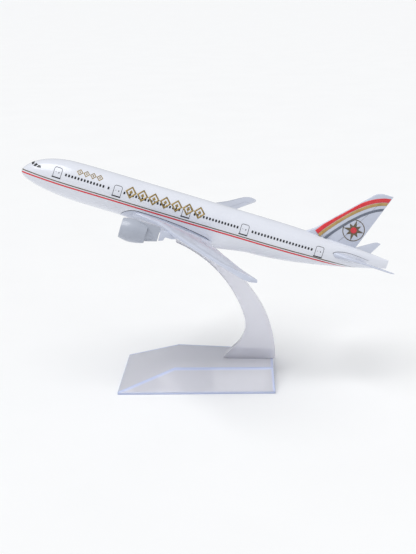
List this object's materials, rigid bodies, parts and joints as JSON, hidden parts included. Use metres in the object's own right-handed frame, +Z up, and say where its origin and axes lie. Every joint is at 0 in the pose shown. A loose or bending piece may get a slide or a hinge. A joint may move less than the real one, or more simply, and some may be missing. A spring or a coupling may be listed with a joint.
{
  "type": "desktop airliner model on stand",
  "caption": "Diecast twin-engine wide-body airliner model held nose-up on a clear plastic arm that plugs into a clear wedge-shaped base",
  "frame": {"origin": "on the desk surface, under the middle of the whole model's bounding box", "axes": "+X towards the tail, +Y towards the right wing tip, +Z up; the nose points to -X and is 17.7 degrees up"},
  "size_m": [0.1564, 0.1528, 0.0963],
  "materials": {
    "fuselage_white": "gloss white enamel",
    "wing_grey": "gloss light grey-blue enamel",
    "engine_grey": "satin silver-grey paint",
    "fan_dark": "satin dark paint",
    "screw_steel": "zinc-plated",
    "clear_plastic": "polished clear"
  },
  "bodies": {
    "base": {"stand_base": "clear_plastic"},
    "arm": {"stand_arm": "clear_plastic"},
    "airliner": {"fuselage_left_half": "fuselage_white", "fuselage_right_half": "fuselage_white", "tail_fin": "wing_grey", "stabiliser_left": "wing_grey", "stabiliser_right": "wing_grey", "wing_casting": "wing_grey", "engine_cowl_left": "engine_grey", "engine_cowl_right": "engine_grey", "engine_pylon_left": "engine_grey", "engine_pylon_right": "engine_grey", "engine_core_left": "engine_grey", "engine_core_right": "engine_grey", "engine_fan_left": "fan_dark", "engine_fan_right": "fan_dark", "belly_screw_front": "screw_steel", "belly_screw_rear": "screw_steel"}
  },
  "joints": [
    {"name": "arm_lift_out", "type": "slide", "parent": "base", "child": "arm", "axis": [0, 0, 1], "range_m": [0, 0.012]},
    {"name": "airliner_lift_off", "type": "slide", "parent": "arm", "child": "airliner", "axis": [0.304, 0, 0.9527], "range_m": [0, 0.012]}
  ]
}
